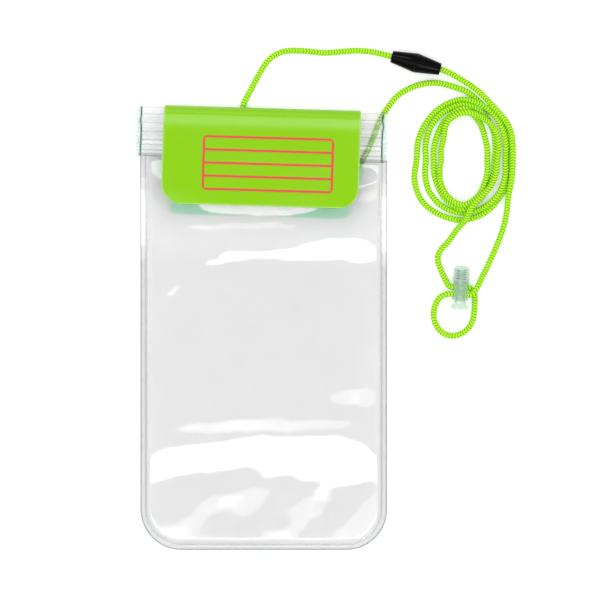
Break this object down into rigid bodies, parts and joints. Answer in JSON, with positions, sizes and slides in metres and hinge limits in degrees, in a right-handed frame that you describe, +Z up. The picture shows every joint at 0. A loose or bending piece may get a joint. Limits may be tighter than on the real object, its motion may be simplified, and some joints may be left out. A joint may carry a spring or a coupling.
{
  "type": "waterproof phone pouch",
  "caption": "Clear film phone pouch with a ribbed press-zip band, a fold-over flap and a braided neck cord with a breakaway clasp and a sprung cord lock.",
  "frame": {"origin": "on the surface that the pouch lies on, under the middle of the pouch's outline without its cord", "axes": "+X to the pouch's right as its front is seen, +Y towards its closed top, +Z up out of its front"},
  "size_m": [0.1591, 0.2108, 0.0082],
  "materials": {
    "film": "clear glossy PVC film",
    "zip_band": "clear extruded PVC with fine ribs",
    "flap": "glossy green PVC sheet",
    "print": "red screen print",
    "loop": "white loop tape",
    "hook": "black hook tape",
    "clasp": "glossy black moulded plastic",
    "lock": "pale green translucent plastic",
    "steel": "bright drawn steel",
    "cord": "braided lime polyester"
  },
  "bodies": {
    "pouch": {"back_panel": "film", "front_panel": "film", "front_zip_strip": "zip_band", "back_zip_strip": "zip_band", "flap": "flap", "flap_print": "print", "loop_patch": "loop", "hook_patch": "hook", "clasp_socket": "clasp", "clasp_plug": "clasp", "cord_stop_socket": "steel", "cord_stop_plug": "steel", "lock_barrel": "lock", "lock_spring": "steel", "cord_pouch_run": "cord", "cord_clasp_run": "cord", "cord_lock_run": "cord", "cord_coil": "cord"},
    "plunger": {"lock_plunger": "lock"}
  },
  "joints": [
    {"name": "lock_press", "type": "slide", "parent": "pouch", "child": "plunger", "axis": [0.0628, 0.998, 0], "range_m": [0, 0.0015], "stiffness_N_per_m": 400, "springref_m": -0.002, "deforming": ["lock_spring"]}
  ]
}
